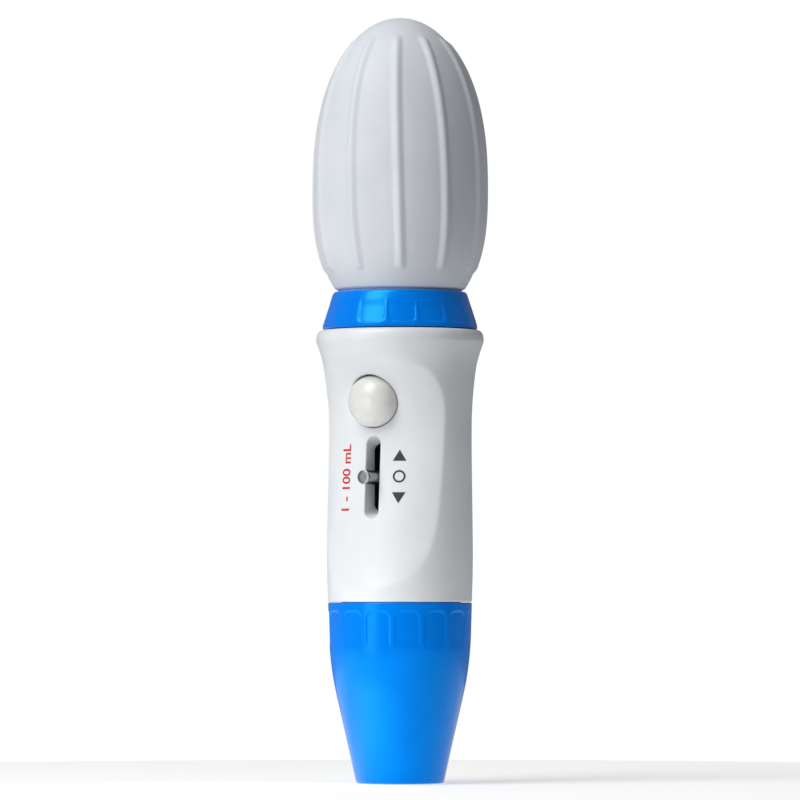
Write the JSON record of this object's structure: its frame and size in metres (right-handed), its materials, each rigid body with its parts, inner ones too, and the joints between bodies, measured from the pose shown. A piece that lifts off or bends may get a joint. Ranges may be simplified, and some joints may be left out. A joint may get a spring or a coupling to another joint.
{
  "type": "manual pipette controller",
  "caption": "Hand-held pipette controller with a ribbed squeeze bulb, screwed collar, scooped barrel, rocking valve lever, blow-out button and screw-on nose.",
  "frame": {"origin": "centre of the nose's flat end face, on the long axis", "axes": "+Z along the barrel from the nose to the bulb, -Y out of the face with the button and lever, +X to the right of a person who faces them"},
  "size_m": [0.0442, 0.0442, 0.1913],
  "materials": {
    "blue_abs": "satin moulded",
    "pale_abs": "fine satin moulded",
    "button_plastic": "polished",
    "grey_silicone": "matte",
    "adapter_silicone": "matte translucent",
    "valve_plastic": "moulded acetal",
    "seal_rubber": "matte",
    "steel": "turned stainless",
    "filter_case": "moulded polypropylene",
    "print_grey": "pad-printed ink",
    "print_red": "pad-printed ink"
  },
  "bodies": {
    "barrel": {"housing": "pale_abs", "snap_ring": "steel", "inlet_tube": "valve_plastic", "valve_block": "valve_plastic", "spool_bore_plug": "valve_plastic", "lever_axle": "steel", "button_cylinder": "valve_plastic", "cylinder_cap": "valve_plastic", "bulb_seat": "valve_plastic", "seat_o_ring": "seal_rubber", "exhaust_valve": "grey_silicone", "seat_screw_left": "steel", "seat_screw_right": "steel", "block_screw_left": "steel", "block_screw_right": "steel", "spool_spring_upper": "steel", "spool_spring_lower": "steel", "button_spring": "steel"},
    "filter_stack": {"pipette_adapter": "adapter_silicone", "filter_gasket": "seal_rubber", "disc_filter": "filter_case", "check_valve": "grey_silicone", "nose_o_ring": "seal_rubber"},
    "nose": {"nose_cone": "blue_abs"},
    "bulb": {"squeeze_bulb": "grey_silicone"},
    "ring": {"bulb_ring": "blue_abs"},
    "lever": {"lever_arm": "steel", "lever_pin": "steel"},
    "spool": {"valve_spool": "steel", "spool_o_ring_upper": "seal_rubber", "spool_o_ring_lower": "seal_rubber"},
    "button": {"blow_out_button": "button_plastic", "blow_out_piston": "valve_plastic", "piston_seal": "seal_rubber"}
  },
  "joints": [
    {"name": "lever_swing", "type": "hinge", "parent": "barrel", "child": "lever", "pos_m": [0, 0.006, 0.076], "axis": [-1, 0, 0], "range_deg": [-20, 20], "stiffness_Nm_per_rad": 0.05},
    {"name": "spool_slide", "type": "slide", "parent": "barrel", "child": "spool", "axis": [0, 0, 1], "range_m": [-0.0021, 0.0021], "deforming": ["spool_spring_upper", "spool_spring_lower"]},
    {"name": "button_press", "type": "slide", "parent": "barrel", "child": "button", "axis": [0, 1, 0], "range_m": [0, 0.003], "stiffness_N_per_m": 250, "springref_m": -0.002, "deforming": ["button_spring"]},
    {"name": "bulb_lift", "type": "slide", "parent": "barrel", "child": "bulb", "axis": [0, 0, 1], "range_m": [0, 0.0055]},
    {"name": "bulb_ring_turn", "type": "hinge", "parent": "bulb", "child": "ring", "pos_m": [0, 0, 0.117], "axis": [0, 0, 1], "range_deg": [0, 630]},
    {"name": "nose_drop", "type": "slide", "parent": "barrel", "child": "filter_stack", "axis": [0, 0, -1], "range_m": [0, 0.0062]},
    {"name": "nose_turn", "type": "hinge", "parent": "filter_stack", "child": "nose", "pos_m": [0, 0, 0.02], "axis": [0, 0, -1], "range_deg": [0, 720]}
  ],
  "couplings": [
    {"joint": "spool_slide", "follows": "lever_swing", "m_per_rad": 0.00588},
    {"joint": "bulb_lift", "follows": "bulb_ring_turn", "m_per_rad": 0.00039789},
    {"joint": "nose_drop", "follows": "nose_turn", "m_per_rad": 0.00047746}
  ]
}
